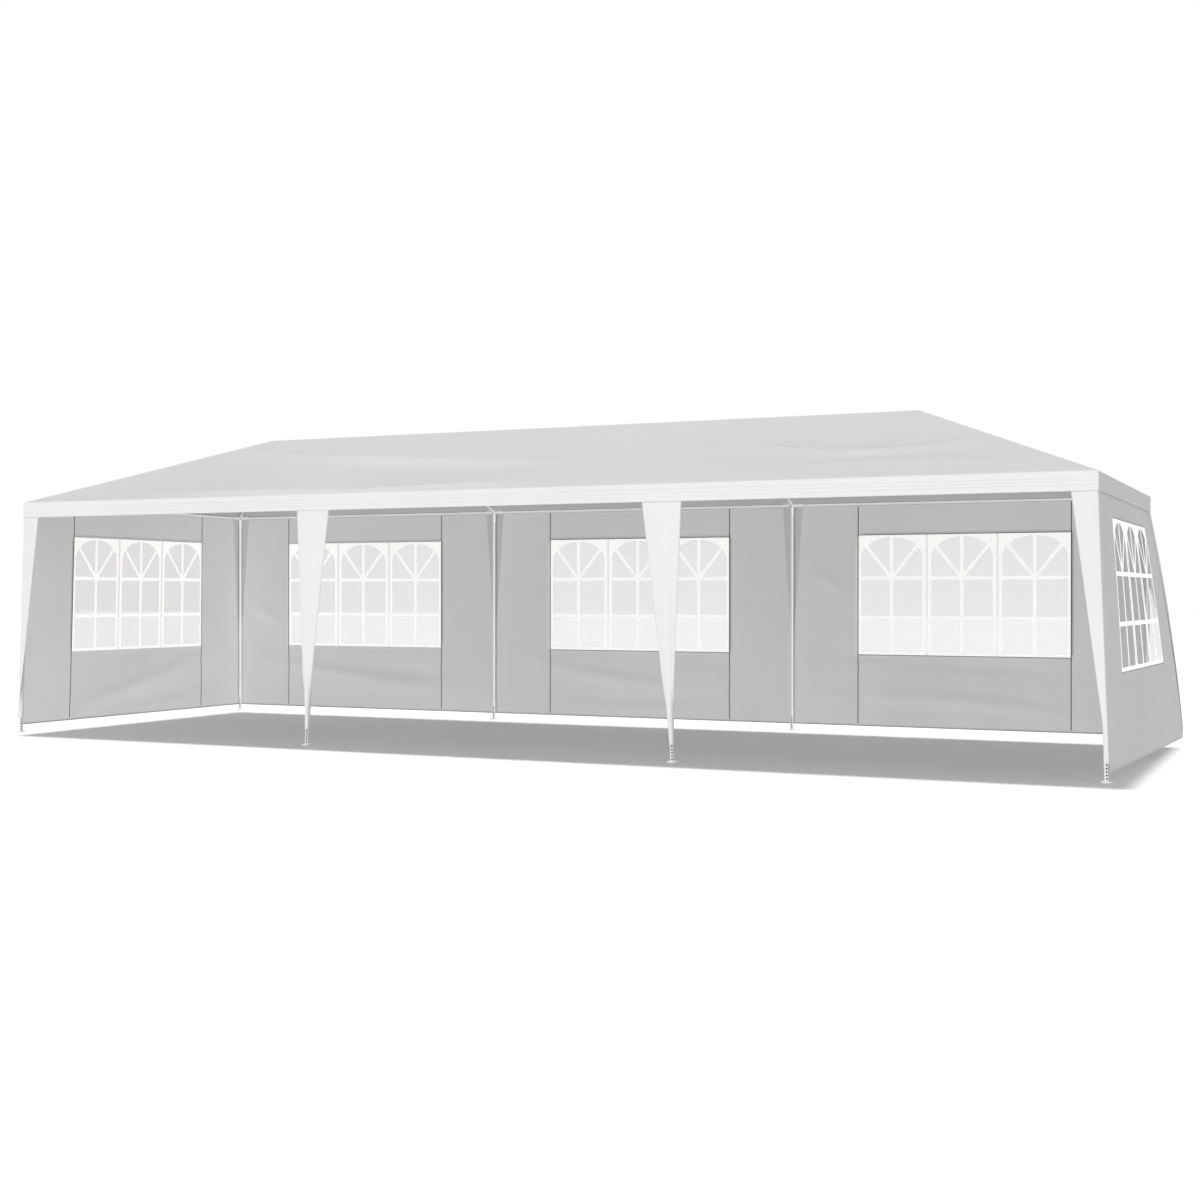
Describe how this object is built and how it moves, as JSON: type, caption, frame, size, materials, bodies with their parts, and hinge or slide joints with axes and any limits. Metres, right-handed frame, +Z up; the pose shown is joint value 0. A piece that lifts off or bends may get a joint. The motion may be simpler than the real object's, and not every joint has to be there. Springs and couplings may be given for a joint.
{
  "type": "marquee tent",
  "caption": "Long party marquee with a steel tube frame, a hip roof cover, window walls on the back and both ends, and an open front between tapered leg covers.",
  "frame": {"origin": "on the ground, under the middle of the footprint's bounding box", "axes": "+X along the ridge towards the right end as seen from the open front, +Y from the front to the back, +Z up"},
  "size_m": [9.3912, 3.074, 2.6144],
  "materials": {
    "tube_steel": "white powder-coated steel tube, low gloss",
    "fitting": "white moulded push-fit connector",
    "roof_cloth": "white laminated woven sheet with soft creases",
    "wall_cloth": "white laminated woven sheet, grey in the shade",
    "window_film": "milky clear film with white printed window bars"
  },
  "bodies": {
    "root": {"front_left_leg": "tube_steel", "front_mid_left_leg": "tube_steel", "front_mid_right_leg": "tube_steel", "front_right_leg": "tube_steel", "back_left_leg": "tube_steel", "back_mid_left_leg": "tube_steel", "back_mid_right_leg": "tube_steel", "back_right_leg": "tube_steel", "front_left_eave_connector": "fitting", "front_mid_left_eave_connector": "fitting", "front_mid_right_eave_connector": "fitting", "front_right_eave_connector": "fitting", "back_left_eave_connector": "fitting", "back_mid_left_eave_connector": "fitting", "back_mid_right_eave_connector": "fitting", "back_right_eave_connector": "fitting", "front_left_eave_tube": "tube_steel", "front_middle_eave_tube": "tube_steel", "front_right_eave_tube": "tube_steel", "back_left_eave_tube": "tube_steel", "back_middle_eave_tube": "tube_steel", "back_right_eave_tube": "tube_steel", "left_end_eave_tube": "tube_steel", "right_end_eave_tube": "tube_steel", "front_left_hip_rafter": "tube_steel", "front_mid_left_rafter": "tube_steel", "front_mid_right_rafter": "tube_steel", "front_right_hip_rafter": "tube_steel", "back_left_hip_rafter": "tube_steel", "back_mid_left_rafter": "tube_steel", "back_mid_right_rafter": "tube_steel", "back_right_hip_rafter": "tube_steel", "left_ridge_tube": "tube_steel", "middle_ridge_tube": "tube_steel", "right_ridge_tube": "tube_steel", "left_ridge_connector": "fitting", "mid_left_ridge_connector": "fitting", "mid_right_ridge_connector": "fitting", "right_ridge_connector": "fitting", "roof_cover": "roof_cloth", "valance": "roof_cloth", "front_left_leg_cover": "roof_cloth", "front_mid_left_leg_cover": "roof_cloth", "front_mid_right_leg_cover": "roof_cloth", "front_right_leg_cover": "roof_cloth", "back_left_leg_cover": "roof_cloth", "back_mid_left_leg_cover": "roof_cloth", "back_mid_right_leg_cover": "roof_cloth", "back_right_leg_cover": "roof_cloth", "back_left_wall": "wall_cloth", "back_middle_wall": "wall_cloth", "back_right_wall": "wall_cloth", "left_end_wall": "wall_cloth", "right_end_wall": "wall_cloth", "back_left_window": "window_film", "back_middle_window": "window_film", "back_right_window": "window_film", "left_end_window": "window_film", "right_end_window": "window_film"}
  },
  "joints": []
}
